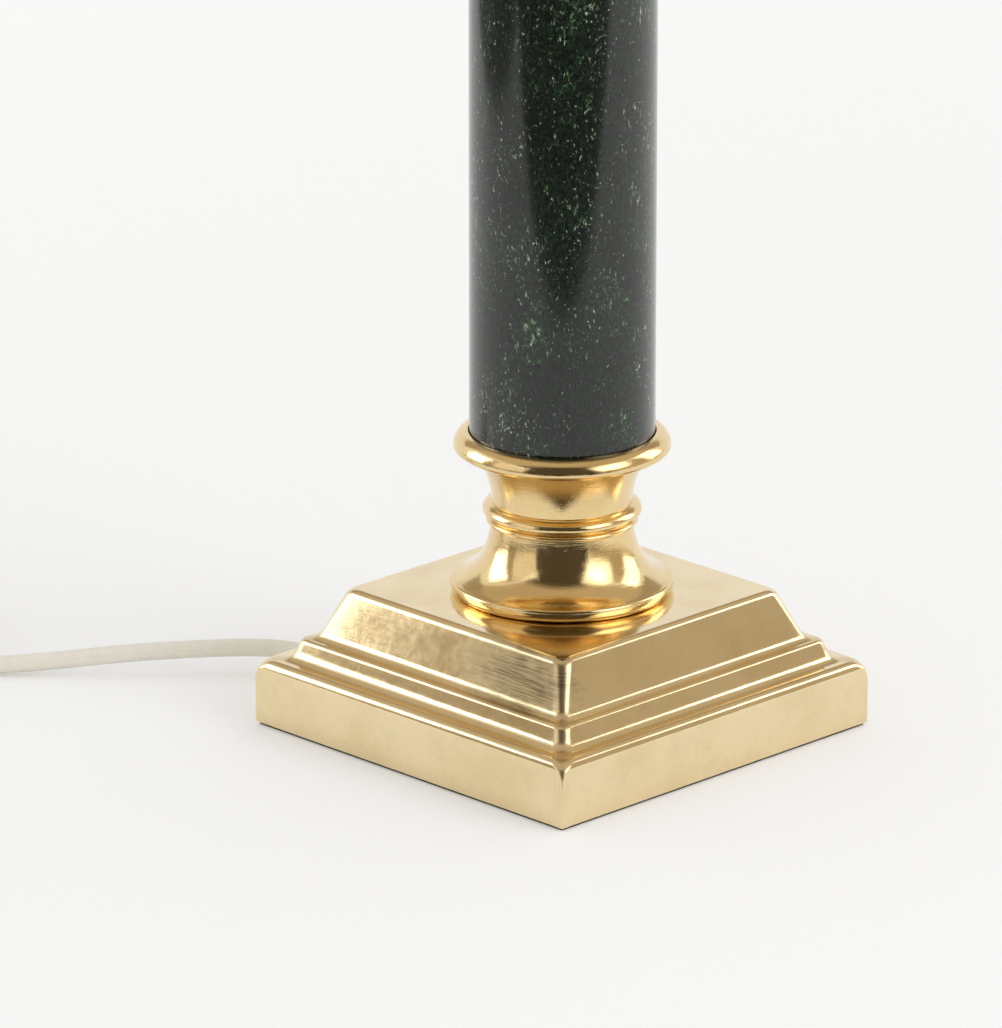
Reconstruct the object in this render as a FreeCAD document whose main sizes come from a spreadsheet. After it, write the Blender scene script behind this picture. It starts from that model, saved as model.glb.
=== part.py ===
# Column table lamp: a stepped square brass plinth, a turned brass foot and cup, a lacquered column,
# a brass capital and a lampholder with its bulb, clamped together by one hollow threaded rod.
# Millimetres, +Z up. The origin is the middle of the plinth's underside, on the surface it stands on.
# The front is -Y, and the cord leaves the back (+Y) face of the plinth.
import FreeCAD
import Part
import Sketcher
import math
import os

V = FreeCAD.Vector
doc = FreeCAD.newDocument("column_table_lamp")
sheet = doc.addObject("Spreadsheet::Sheet", "Sizes")
nodes = []


class Size:
    """A length that knows its number and the formula that ties it to the sheet."""

    def __init__(self, number, formula):
        self.number = number
        self.formula = formula

    def __add__(self, other):
        other = as_size(other)
        return Size(self.number + other.number, f"({self.formula} + {other.formula})")

    def __sub__(self, other):
        other = as_size(other)
        return Size(self.number - other.number, f"({self.formula} - {other.formula})")

    def __mul__(self, factor):
        return Size(self.number * factor, f"({self.formula} * {factor})")

    def __truediv__(self, factor):
        return Size(self.number / factor, f"({self.formula} / {factor})")

    def __neg__(self):
        return Size(-self.number, f"(0 - {self.formula})")


def as_size(value):
    return value if isinstance(value, Size) else Size(float(value), str(value))


def size(alias, number):
    """Write one driving dimension in the sheet and return it."""
    row = size.rows = getattr(size, "rows", 0) + 1
    sheet.set(f"A{row}", alias.replace("_", " "))
    sheet.set(f"B{row}", str(number))
    sheet.setAlias(f"B{row}", alias)
    return Size(float(number), f"Sizes.{alias}")


# Fits
running = size("running_clearance", 0.06)
loose = size("loose_clearance", 0.2)
seat_gap = size("seat_gap", 0.3)

# Plinth: three steps joined by coves, cast hollow
felt_thick = size("felt_thick", 0.8)
felt_inset = size("felt_inset", 1.2)
base_side = size("base_side", 150)
step_one_high = size("step_one_high", 23.3)
step_two_high = size("step_two_high", 7.7)
step_three_high = size("step_three_high", 18.2)
step_two_ledge = size("step_two_ledge", 7.5)
step_three_ledge = size("step_three_ledge", 7.2)
step_two_lean = size("step_two_lean", 17)
step_three_lean = size("step_three_lean", 21.5)
corner_round = size("corner_round", 4.2)
shoulder_round = size("shoulder_round", 3.3)
step_two_round = size("step_two_round", 1.6)
top_round = size("top_round", 3.4)
cove_round = size("cove_round", 4.2)
plinth_wall = size("plinth_wall", 4)
hollow_inset = size("hollow_inset", 12)

# Foot, cup and lip
rim_radius = size("rim_radius", 37.9)
rim_foot_radius = size("rim_foot_radius", 37.3)
rim_high = size("rim_high", 5.4)
bell_radius = size("bell_radius", 36.4)
bell_mid_radius = size("bell_mid_radius", 28.4)
bell_mid_rise = size("bell_mid_rise", 5.8)
bell_high = size("bell_high", 17)
neck_radius = size("neck_radius", 24.1)
turned_wall = size("turned_wall", 2.8)
quirk_radius = size("quirk_radius", 25)
quirk_high = size("quirk_high", 2.6)
bead_radius = size("bead_radius", 27.4)
bead_high = size("bead_high", 6.6)
cup_radius = size("cup_radius", 24.4)
cup_mid_radius = size("cup_mid_radius", 25.6)
cup_mid_rise = size("cup_mid_rise", 8)
flare_radius = size("flare_radius", 29.6)
flare_rise = size("flare_rise", 17.6)
lip_radius = size("lip_radius", 37.5)
lip_under_radius = size("lip_under_radius", 35)
lip_under_rise = size("lip_under_rise", 19.1)
lip_nose_rise = size("lip_nose_rise", 21.2)
lip_high = size("lip_high", 26.3)
cup_floor = size("cup_floor", 4.5)
pocket_deep = size("pocket_deep", 6.2)
seat_washer_thick = size("seat_washer_thick", 1.5)

# Column and its end plugs
column_diameter = size("column_diameter", 64)
column_wall = size("column_wall", 2)
column_long = size("column_long", 250)
column_gap = size("column_gap", 0.4)
end_plug_thick = size("end_plug_thick", 12)

# Dome cap and neck above the capital
dome_rim_radius = size("dome_rim_radius", 25.6)
dome_rim_high = size("dome_rim_high", 3)
dome_high = size("dome_high", 19)
dome_neck_radius = size("dome_neck_radius", 9)
spacer_diameter = size("spacer_diameter", 15)
spacer_high = size("spacer_high", 14)

# Threaded rod and its nut
rod_diameter = size("rod_diameter", 10)
rod_bore = size("rod_bore", 7)
rod_below_nut = size("rod_below_nut", 1)
rod_in_holder = size("rod_in_holder", 6.5)
nut_across_flats = size("nut_across_flats", 17)
nut_high = size("nut_high", 4)
washer_diameter = size("washer_diameter", 28)
washer_thick = size("washer_thick", 1.6)

# Ballast and bottom plate
plate_thick = size("plate_thick", 2)
ballast_diameter = size("ballast_diameter", 90)
ballast_thick = size("ballast_thick", 5.4)
ballast_bore = size("ballast_bore", 26)
boss_inset = size("boss_inset", 14)
boss_diameter = size("boss_diameter", 9)
screw_diameter = size("screw_diameter", 3)
screw_long = size("screw_long", 9)
screw_head_diameter = size("screw_head_diameter", 5.6)
screw_head_high = size("screw_head_high", 1.4)

# Lampholder
holder_foot_radius = size("holder_foot_radius", 7.6)
holder_foot_high = size("holder_foot_high", 4)
holder_cap_high = size("holder_cap_high", 21)
holder_radius = size("holder_radius", 19)
holder_wall = size("holder_wall", 1.2)
shell_high = size("shell_high", 15)
flange_radius = size("flange_radius", 22)
flange_thick = size("flange_thick", 1.8)
skirt_radius = size("skirt_radius", 19.75)
skirt_high = size("skirt_high", 27)
insert_floor = size("insert_floor", 6)
insert_high = size("insert_high", 33)
contact_radius = size("contact_radius", 13.9)
contact_wall = size("contact_wall", 0.6)
contact_high = size("contact_high", 27)
contact_hole_radius = size("contact_hole_radius", 8)
spring_rise = size("spring_rise", 3.6)
spring_thick = size("spring_thick", 0.5)
spring_wide = size("spring_wide", 5)
spring_long = size("spring_long", 9)
switch_bar_diameter = size("switch_bar_diameter", 5)
switch_bar_rise = size("switch_bar_rise", 16)
switch_travel = size("switch_travel", 6)
switch_knob_diameter = size("switch_knob_diameter", 7.4)
switch_knob_long = size("switch_knob_long", 6)
switch_block_long = size("switch_block_long", 16)
switch_block_wide = size("switch_block_wide", 11)
terminal_diameter = size("terminal_diameter", 4.6)
terminal_offset = size("terminal_offset", 11.4)
terminal_high = size("terminal_high", 4)

# Shade ring
ring_collar_wall = size("ring_collar_wall", 2.2)
ring_flange_radius = size("ring_flange_radius", 27.5)
ring_flange_thick = size("ring_flange_thick", 1.8)
ring_high = size("ring_high", 8)

# Bulb
bulb_cap_radius = size("bulb_cap_radius", 13.05)
bulb_cap_wall = size("bulb_cap_wall", 0.5)
bulb_cap_high = size("bulb_cap_high", 22)
bulb_tip_radius = size("bulb_tip_radius", 4.5)
bulb_tip_high = size("bulb_tip_high", 1.2)
bulb_button_high = size("bulb_button_high", 3.2)
bulb_button_radius = size("bulb_button_radius", 7)
bulb_radius = size("bulb_radius", 30)
bulb_centre_rise = size("bulb_centre_rise", 43)
bulb_neck_radius = size("bulb_neck_radius", 13.6)
neck_swell = size("neck_swell", 3)
glass_thick = size("glass_thick", 0.9)
stem_radius = size("stem_radius", 3.4)
stem_high = size("stem_high", 34)
filament_radius = size("filament_radius", 0.5)
filament_half = size("filament_half", 9)

# Cord, its bushing, clamp and plug
cord_diameter = size("cord_diameter", 6.3)
core_diameter = size("core_diameter", 2.2)
cord_offset = size("cord_offset", -29.5)
cord_height = size("cord_height", 9.3)
cord_bore_gap = size("cord_bore_gap", 0.1)
bushing_neck_radius = size("bushing_neck_radius", 4.8)
bushing_flange_radius = size("bushing_flange_radius", 6.2)
bushing_flange_thick = size("bushing_flange_thick", 1.8)
bushing_long = size("bushing_long", 17)
bushing_tip_radius = size("bushing_tip_radius", 3.9)
clamp_long = size("clamp_long", 26)
clamp_wide = size("clamp_wide", 8)
clamp_top_wall = size("clamp_top_wall", 3)
clamp_set_back = size("clamp_set_back", 4)
clamp_screw_spacing = size("clamp_screw_spacing", 18)
coil_inner_radius = size("coil_inner_radius", 29.8)
coil_outer_radius = size("coil_outer_radius", 42.7)
coil_high = size("coil_high", 25.2)
coil_middle_x = size("coil_middle_x", -116)
coil_middle_y = size("coil_middle_y", 241)
tie_thick = size("tie_thick", 1.2)
tie_wide = size("tie_wide", 8)
plug_body_long = size("plug_body_long", 34)
plug_body_wide = size("plug_body_wide", 35)
plug_body_high = size("plug_body_high", 13.7)
plug_nose_wide = size("plug_nose_wide", 26)
plug_neck_long = size("plug_neck_long", 10)
plug_neck_radius = size("plug_neck_radius", 5.2)
plug_axis_offset = size("plug_axis_offset", -33.2)
plug_neck_offset = size("plug_neck_offset", -6)
pin_diameter = size("pin_diameter", 4)
pin_long = size("pin_long", 19)
pin_spacing = size("pin_spacing", 19)

doc.recompute()

# Levels, radii and places that follow from the sizes above
plinth_bottom = felt_thick
step_one_top = plinth_bottom + step_one_high
step_two_top = step_one_top + step_two_high
plinth_top = step_two_top + step_three_high
bell_top = plinth_top + rim_high + bell_high
cup_bottom = bell_top + quirk_high + bead_high
lip_top = cup_bottom + lip_high
pocket_floor = lip_top - pocket_deep
column_bottom = pocket_floor + seat_washer_thick
column_top = column_bottom + column_long
capital_top = column_top + seat_washer_thick - pocket_deep + lip_high
dome_bottom = capital_top + bead_high + quirk_high
dome_top = dome_bottom + dome_rim_high + dome_high
holder_bottom = dome_top + spacer_high
holder_joint = holder_bottom + holder_cap_high
flange_bottom = holder_joint + shell_high
flange_top = flange_bottom + flange_thick
skirt_top = flange_top + skirt_high
insert_top_of_floor = holder_joint + insert_floor
bulb_bottom = insert_top_of_floor + spring_rise
bulb_cap_bottom = bulb_bottom + bulb_tip_high + bulb_button_high
bulb_cap_top = bulb_cap_bottom + bulb_cap_high
plate_top = plinth_bottom + plate_thick
ballast_top = plate_top + ballast_thick
ceiling = plinth_top - plinth_wall
nut_top = ceiling - washer_thick
rod_bottom = nut_top - nut_high - rod_below_nut
rod_top = holder_bottom + rod_in_holder
rod_hole = rod_diameter / 2 + loose
column_radius = column_diameter / 2
column_bore = column_radius - column_wall
pocket_radius = column_radius + column_gap
cord_radius = cord_diameter / 2
back_face = base_side / 2
step_two_side = base_side - step_two_ledge * 2
step_three_side = step_two_side - step_three_ledge * 2
boss_spacing = base_side - boss_inset * 2
switch_level = holder_bottom + switch_bar_rise


# Drawing helpers
def make_body(name):
    body = doc.addObject("PartDesign::Body", name)
    body.Label = name
    nodes.append(body)
    return body


def start_sketch(body, name, plane, offset=None):
    """Attach a sketch to one of the body's own origin planes, moved along its normal by offset."""
    sketch = body.newObject("Sketcher::SketchObject", name)
    origin_plane = [f for f in body.Origin.OriginFeatures if f.Role == plane][0]
    sketch.AttachmentSupport = [(origin_plane, "")]
    sketch.MapMode = "FlatFace"
    if offset is not None:
        sketch.AttachmentOffset = FreeCAD.Placement(V(0, 0, offset.number), FreeCAD.Rotation())
        sketch.setExpression("AttachmentOffset.Base.z", offset.formula)
    return sketch


def constrain(sketch, kind, *where_and_value):
    """Add one constraint and tie its value to the sheet."""
    value = where_and_value[-1]
    index = sketch.addConstraint(Sketcher.Constraint(kind, *where_and_value[:-1], value.number))
    if "Sizes." in value.formula:
        sketch.setExpression(f"Constraints[{index}]", value.formula)


def pin_point(sketch, geometry, end, point):
    """Hold a point of the sketch at two sizes measured from the sketch's origin."""
    for kind, axis, value in (("DistanceX", -2, point[0]), ("DistanceY", -1, point[1])):
        value = as_size(value)
        if value.number == 0 and "Sizes." not in value.formula:
            sketch.addConstraint(Sketcher.Constraint("PointOnObject", geometry, end, axis))
        else:
            constrain(sketch, kind, -1, 1, geometry, end, value)


def numbers(point):
    return V(as_size(point[0]).number, as_size(point[1]).number, 0)


class Bend:
    """An arc of an outline: the point half way along it, and the point where it ends."""

    def __init__(self, middle, end):
        self.middle = middle
        self.end = end


def draw_outline(sketch, outline):
    """Draw a closed outline of straight lines and arcs, every corner held by two sizes."""
    first = outline[0]
    here = first
    starts = []
    ends = []
    for step in list(outline[1:]) + [first]:
        if isinstance(step, Bend):
            arc = sketch.addGeometry(Part.Arc(numbers(here), numbers(step.middle), numbers(step.end)))
            forward = (sketch.getPoint(arc, 1) - numbers(here)).Length < 1e-6
            starts.append((arc, 1 if forward else 2))
            ends.append((arc, 2 if forward else 1, step.end))
            mark = sketch.addGeometry(Part.Point(numbers(step.middle)), True)
            pin_point(sketch, mark, 1, step.middle)
            sketch.addConstraint(Sketcher.Constraint("PointOnObject", mark, 1, arc))
            here = step.end
        elif (numbers(step) - numbers(here)).Length > 1e-6:
            line = sketch.addGeometry(Part.LineSegment(numbers(here), numbers(step)))
            starts.append((line, 1))
            ends.append((line, 2, step))
            here = step
    for index, (geometry, end, point) in enumerate(ends):
        following = starts[(index + 1) % len(starts)]
        sketch.addConstraint(Sketcher.Constraint("Coincident", geometry, end, *following))
        pin_point(sketch, geometry, end, point)


def rectangle(low_x, low_y, high_x, high_y):
    return [(low_x, low_y), (high_x, low_y), (high_x, high_y), (low_x, high_y)]


def draw_circle(sketch, x, y, radius):
    x, y = as_size(x), as_size(y)
    circle = sketch.addGeometry(Part.Circle(V(x.number, y.number, 0), V(0, 0, 1), radius.number))
    pin_point(sketch, circle, 3, (x, y))
    constrain(sketch, "Radius", circle, radius)


def turn(body, name, outline, cut=False, axis="V_Axis"):
    """Turn an outline drawn in the XZ plane round the body's Z axis, or its X axis."""
    sketch = start_sketch(body, name + "_section", "XZ_Plane")
    draw_outline(sketch, outline)
    kind = "PartDesign::Groove" if cut else "PartDesign::Revolution"
    feature = body.newObject(kind, name)
    feature.Profile = sketch
    feature.ReferenceAxis = (sketch, [axis])
    feature.Angle = 360
    doc.recompute()
    return feature


def turned_part(name, outline):
    body = make_body(name)
    turn(body, name + "_turned", outline)
    return body


def ring_part(name, inner, outer, low, high):
    return turned_part(name, rectangle(inner, low, outer, high))


def pad(body, sketch, name, length, lean=None):
    feature = body.newObject("PartDesign::Pad", name)
    feature.Profile = sketch
    feature.setExpression("Length", length.formula)
    if lean is not None:
        feature.setExpression("TaperAngle", f"0 - {lean.formula}")
    doc.recompute()
    return feature


def cut_ahead(body, sketch, name, length):
    """Cut from the sketch along its plane's normal, and stop if nothing was cut."""
    before = body.Shape.Volume
    feature = body.newObject("PartDesign::Pocket", name)
    feature.Profile = sketch
    feature.Reversed = True
    feature.setExpression("Length", length.formula)
    doc.recompute()
    if body.Shape.Volume > before - 1e-3:
        raise RuntimeError(f"{name} cut nothing")
    return feature


def square(half):
    return rectangle(-half, -half, half, half)


def fillet(body, name, radius, wanted):
    """Round the edges of the body's present shape that the test wants."""
    base = body.Tip
    names = []
    for index, edge in enumerate(base.Shape.Edges, 1):
        if wanted(edge):
            names.append(f"Edge{index}")
    feature = body.newObject("PartDesign::Fillet", name)
    feature.Base = (base, names)
    feature.setExpression("Radius", radius.formula)
    doc.recompute()
    return feature


def flat_at(edge, level):
    return all(abs(v.Point.z - level.number) < 1e-3 for v in edge.Vertexes)


def reach(edge):
    centre = edge.CenterOfMass
    return max(abs(centre.x), abs(centre.y))


def leaning_between(edge, low, high):
    heights = sorted(v.Point.z for v in edge.Vertexes)
    return abs(heights[0] - low.number) < 1e-3 and abs(heights[-1] - high.number) < 1e-3


def cylinder(name, radius, height, x, y, z):
    """A plain Part cylinder, tied to the sheet."""
    solid = doc.addObject("Part::Cylinder", name)
    solid.setExpression("Radius", as_size(radius).formula)
    solid.setExpression("Height", as_size(height).formula)
    place(solid, x, y, z)
    return solid


def box(name, long_x, long_y, long_z, x, y, z):
    """A plain Part box with its low corner at x, y, z."""
    solid = doc.addObject("Part::Box", name)
    solid.setExpression("Length", as_size(long_x).formula)
    solid.setExpression("Width", as_size(long_y).formula)
    solid.setExpression("Height", as_size(long_z).formula)
    place(solid, x, y, z)
    return solid


def place(item, x, y, z):
    for letter, value in (("x", x), ("y", y), ("z", z)):
        item.setExpression(f"Placement.Base.{letter}", as_size(value).formula)


def lie_along_y(item):
    """Turn a cylinder so that it points along +Y."""
    item.Placement = FreeCAD.Placement(V(0, 0, 0), FreeCAD.Rotation(V(1, 0, 0), -90))


def lie_along_x(item):
    """Turn a cylinder so that it points along +X."""
    item.Placement = FreeCAD.Placement(V(0, 0, 0), FreeCAD.Rotation(V(0, 1, 0), 90))


def cut_part(name, base, tools):
    """Cut every tool from the base, and give the result its node name."""
    result = base
    for index, tool in enumerate(tools):
        cut = doc.addObject("Part::Cut", f"{name}_cut_{index}")
        cut.Base = result
        cut.Tool = tool
        result = cut
    result.Label = name
    doc.recompute()
    nodes.append(result)
    return result


def group_part(name, pieces):
    """Keep separate like solids in one node."""
    group = doc.addObject("Part::Compound", name)
    group.Links = pieces
    group.Label = name
    doc.recompute()
    nodes.append(group)
    return group


def tube_along(points, radius):
    """A round tube along straight runs joined by the largest arcs that they allow."""
    edges = []
    radii = []
    here = points[0]
    for before, corner, after in zip(points, points[1:], points[2:]):
        run_in = (corner - before).Length
        run_out = (after - corner).Length
        back = (before - corner).normalize()
        ahead = (after - corner).normalize()
        half_turn = (math.pi - back.getAngle(ahead)) / 2
        reach_back = 0.45 * min(run_in, run_out)
        arc_radius = reach_back / math.tan(half_turn)
        start = corner + back * reach_back
        end = corner + ahead * reach_back
        bisector = (back + ahead).normalize()
        to_arc = arc_radius / math.cos(half_turn) - arc_radius
        edges.append(Part.LineSegment(here, start).toShape())
        edges.append(Part.Arc(start, corner + bisector * to_arc, end).toShape())
        radii.append(round(arc_radius, 1))
        here = end
    edges.append(Part.LineSegment(here, points[-1]).toShape())
    path = Part.Wire(edges)
    heading = points[1] - points[0]
    section = Part.Wire([Part.Circle(points[0], heading, radius).toShape()])
    solid = path.makePipeShell([section], True, False)
    expected = math.pi * radius * radius * path.Length
    print(f"tube length {path.Length:.1f}, radii {radii}, volume {solid.Volume / expected:.4f} of expected")
    return solid


def tube_part(name, points, radius):
    feature = doc.addObject("Part::Feature", name)
    feature.Label = name
    feature.Shape = tube_along(points, radius)
    nodes.append(feature)
    return feature


# Felt pad under the plinth, glued to the rim and the plate
felt_side = base_side - felt_inset * 2
felt = box("felt_box", felt_side, felt_side, felt_thick, -felt_side / 2, -felt_side / 2, 0)
felt.Label = "felt_pad"
nodes.append(felt)

# Plinth casting: three leaning steps, rounded tops and coved feet, hollow below
base_shell = make_body("base_shell")
step_sketch = start_sketch(base_shell, "step_one_section", "XY_Plane", plinth_bottom)
draw_outline(step_sketch, square(base_side / 2))
pad(base_shell, step_sketch, "step_one", step_one_high)
step_sketch = start_sketch(base_shell, "step_two_section", "XY_Plane", step_one_top)
draw_outline(step_sketch, square(step_two_side / 2))
pad(base_shell, step_sketch, "step_two", step_two_high, step_two_lean)
step_sketch = start_sketch(base_shell, "step_three_section", "XY_Plane", step_two_top)
draw_outline(step_sketch, square(step_three_side / 2))
pad(base_shell, step_sketch, "step_three", step_three_high, step_three_lean)
fillet(base_shell, "step_three_corners", corner_round,
       lambda edge: leaning_between(edge, step_two_top, plinth_top))
fillet(base_shell, "step_two_corners", corner_round,
       lambda edge: leaning_between(edge, step_one_top, step_two_top))
fillet(base_shell, "top_edge", top_round, lambda edge: flat_at(edge, plinth_top))
fillet(base_shell, "step_two_edge", step_two_round,
       lambda edge: flat_at(edge, step_two_top) and reach(edge) > step_three_side.number / 2 + 1)
fillet(base_shell, "step_three_cove", cove_round,
       lambda edge: flat_at(edge, step_two_top) and reach(edge) < step_three_side.number / 2 + 0.1)
fillet(base_shell, "step_two_cove", cove_round,
       lambda edge: flat_at(edge, step_one_top) and reach(edge) < step_two_side.number / 2 + 0.1)
fillet(base_shell, "shoulder", shoulder_round,
       lambda edge: flat_at(edge, step_one_top) and reach(edge) > base_side.number / 2 - 0.1)
top_hollow = step_three_side / 2 - hollow_inset
through_wall = plinth_wall * 3
for label, half, top in (("low", base_side / 2 - plinth_wall, step_one_top - plinth_wall),
                         ("middle", top_hollow + plinth_wall, step_two_top),
                         ("high", top_hollow, ceiling)):
    hollow_sketch = start_sketch(base_shell, f"{label}_hollow_section", "XY_Plane", plinth_bottom)
    draw_outline(hollow_sketch, square(half))
    cut_ahead(base_shell, hollow_sketch, f"{label}_hollow", top - plinth_bottom)
boss_sketch = start_sketch(base_shell, "boss_section", "XY_Plane", plate_top)
boss_places = [(boss_spacing / 2 * x, boss_spacing / 2 * y) for x in (-1, 1) for y in (-1, 1)]
for x, y in boss_places:
    draw_circle(boss_sketch, x, y, boss_diameter / 2)
pad(base_shell, boss_sketch, "bosses", step_one_top - plinth_wall / 2 - plate_top)
screw_sketch = start_sketch(base_shell, "screw_hole_section", "XY_Plane", plate_top)
for x, y in boss_places:
    draw_circle(screw_sketch, x, y, screw_diameter / 2 + running)
cut_ahead(base_shell, screw_sketch, "screw_holes", screw_long)
rod_sketch = start_sketch(base_shell, "rod_hole_section", "XY_Plane", ceiling - plinth_wall)
draw_circle(rod_sketch, 0, 0, rod_hole)
cut_ahead(base_shell, rod_sketch, "rod_hole", through_wall)
cord_hole_sketch = start_sketch(base_shell, "cord_hole_section", "XZ_Plane", -(back_face + plinth_wall))
draw_circle(cord_hole_sketch, cord_offset, cord_height, bushing_neck_radius + running)
cut_ahead(base_shell, cord_hole_sketch, "cord_hole", through_wall)

# Bottom plate, its four countersunk screws and the ballast disc
plate_half = base_side / 2 - plinth_wall - loose
plate = make_body("bottom_plate")
plate_sketch = start_sketch(plate, "plate_section", "XY_Plane", plinth_bottom)
draw_outline(plate_sketch, square(plate_half))
pad(plate, plate_sketch, "plate_sheet", plate_thick)
for x, y in boss_places:
    countersink = start_sketch(plate, "countersink_section", "XY_Plane", plinth_bottom)
    draw_circle(countersink, x, y, screw_head_diameter / 2 + running)
    cut_ahead(plate, countersink, "countersink", screw_head_high)
    hole_sketch = start_sketch(plate, "plate_hole_section", "XY_Plane", plinth_bottom)
    draw_circle(hole_sketch, x, y, screw_diameter / 2 + running)
    cut_ahead(plate, hole_sketch, "plate_hole", plate_thick * 2)
screws = []
for x, y in boss_places:
    head = cylinder("plate_screw_head", screw_head_diameter / 2, screw_head_high, x, y, plinth_bottom)
    shank_long = plate_thick - screw_head_high + screw_long - loose
    shank = cylinder("plate_screw_shank", screw_diameter / 2, shank_long, x, y,
                     plinth_bottom + screw_head_high)
    screw = doc.addObject("Part::Fuse", "plate_screw")
    screw.Base = head
    screw.Tool = shank
    screws.append(screw)
group_part("plate_screws", screws)
ring_part("ballast_disc", ballast_bore / 2, ballast_diameter / 2, plate_top, ballast_top)

# Hollow threaded rod with its washer and nut under the plinth's top
ring_part("threaded_rod", rod_bore / 2, rod_diameter / 2, rod_bottom, rod_top)
ring_part("rod_washer", rod_diameter / 2 + running, washer_diameter / 2, nut_top, ceiling)
nut = make_body("rod_nut")
nut_sketch = start_sketch(nut, "nut_section", "XY_Plane", nut_top - nut_high)
nut_corner = nut_across_flats / 2 / math.cos(math.pi / 6)
draw_outline(nut_sketch, [(nut_corner * math.cos(math.pi / 3 * k), nut_corner * math.sin(math.pi / 3 * k))
                          for k in range(6)])
pad(nut, nut_sketch, "nut_block", nut_high)
turn(nut, "nut_bore", rectangle(0, nut_top - nut_high * 2, rod_diameter / 2 + running, nut_top + nut_high),
     cut=True)


# Turned brass foot: a rounded rim and a hollow bell
turned_part("foot_bell", [
    (bell_radius - turned_wall, plinth_top),
    (rim_foot_radius, plinth_top),
    Bend((rim_radius, plinth_top + rim_high / 2), (rim_foot_radius, plinth_top + rim_high)),
    (bell_radius, plinth_top + rim_high),
    Bend((bell_mid_radius, plinth_top + rim_high + bell_mid_rise), (neck_radius, bell_top)),
    (rod_hole, bell_top),
    (rod_hole, bell_top - turned_wall),
    (neck_radius - turned_wall, bell_top - turned_wall),
    Bend((bell_mid_radius - turned_wall, plinth_top + rim_high + bell_mid_rise - turned_wall / 2),
         (bell_radius - turned_wall, plinth_top + rim_high / 2)),
])


def bead_part(name, low, up):
    """A turned ring with a small quirk and a large bead; up is 1, or -1 for one that is turned over."""
    quirk_end = low + quirk_high * up
    bead_end = quirk_end + bead_high * up
    turned_part(name, [
        (rod_hole, low),
        (neck_radius, low),
        Bend((quirk_radius, low + quirk_high / 2 * up), (neck_radius, quirk_end)),
        (cup_radius, quirk_end),
        Bend((bead_radius, quirk_end + bead_high / 2 * up), (cup_radius, bead_end)),
        (rod_hole, bead_end),
    ])


lip_edge_share = 0.7


def cup_part(name, low, up):
    """A turned cup that flares to a rolled lip, with a pocket for the column's end."""
    def rise(height):
        return low + height * up
    pocket = lip_high - pocket_deep
    lip_edge = lip_nose_rise + (lip_high - lip_nose_rise) * lip_edge_share
    turned_part(name, [
        (rod_hole, low),
        (cup_radius, low),
        Bend((cup_mid_radius, rise(cup_mid_rise)), (flare_radius, rise(flare_rise))),
        (flare_radius + turned_wall / 4, rise(lip_under_rise - turned_wall / 4)),
        (lip_under_radius, rise(lip_under_rise)),
        Bend((lip_radius - turned_wall / 4, rise((lip_under_rise + lip_nose_rise) / 2)),
             (lip_radius, rise(lip_nose_rise))),
        Bend((lip_radius - turned_wall / 2, rise(lip_edge)),
             (pocket_radius + turned_wall / 4, rise(lip_high))),
        (pocket_radius, rise(lip_high - turned_wall / 4)),
        (pocket_radius, rise(pocket)),
        (cup_radius - turned_wall * 1.5, rise(pocket)),
        (cup_radius - turned_wall * 1.5, rise(cup_floor)),
        (rod_hole, rise(cup_floor)),
    ])


# Bead and cup under the column
bead_part("foot_bead", bell_top, 1)
cup_part("column_cup", cup_bottom, 1)

# Column tube between two rubber seats, with a turned plug in each end
seat_inner = cup_radius - turned_wall
ring_part("lower_seat", seat_inner, column_radius, pocket_floor, column_bottom)
ring_part("column_tube", column_bore, column_radius, column_bottom, column_top)
ring_part("upper_seat", seat_inner, column_radius, column_top, column_top + seat_washer_thick)
ring_part("lower_plug", rod_hole, column_bore - running, column_bottom, column_bottom + end_plug_thick)
ring_part("upper_plug", rod_hole, column_bore - running, column_top - end_plug_thick, column_top)

# Capital and bead over the column, turned over from the foot
cup_part("column_capital", capital_top, -1)
bead_part("capital_bead", dome_bottom, -1)

# Dome cap and neck spacer
dome_foot = dome_bottom + dome_rim_high
dome_flank = dome_rim_radius - turned_wall / 2
dome_swell = 0.62
dome_mid_radius = dome_neck_radius + (dome_flank - dome_neck_radius) * dome_swell
band_low = dome_top + spacer_high * 0.35
band_high = dome_top + spacer_high * 0.65
turned_part("dome_cap", [
    (dome_flank - turned_wall, dome_bottom),
    (dome_flank, dome_bottom),
    Bend((dome_rim_radius, dome_bottom + dome_rim_high / 2), (dome_flank, dome_foot)),
    Bend((dome_mid_radius, dome_foot + dome_high * dome_swell), (dome_neck_radius, dome_top)),
    (rod_hole, dome_top),
    (rod_hole, dome_top - turned_wall * 1.5),
    (dome_neck_radius, dome_top - turned_wall * 1.5),
    (dome_flank - turned_wall, dome_foot),
])
turned_part("neck_spacer", [
    (rod_hole, dome_top),
    (spacer_diameter / 2, dome_top),
    (spacer_diameter / 2, band_low),
    Bend((spacer_diameter / 2 + turned_wall / 2, dome_top + spacer_high / 2),
         (spacer_diameter / 2, band_high)),
    (spacer_diameter / 2, holder_bottom),
    (rod_hole, holder_bottom),
])

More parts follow.
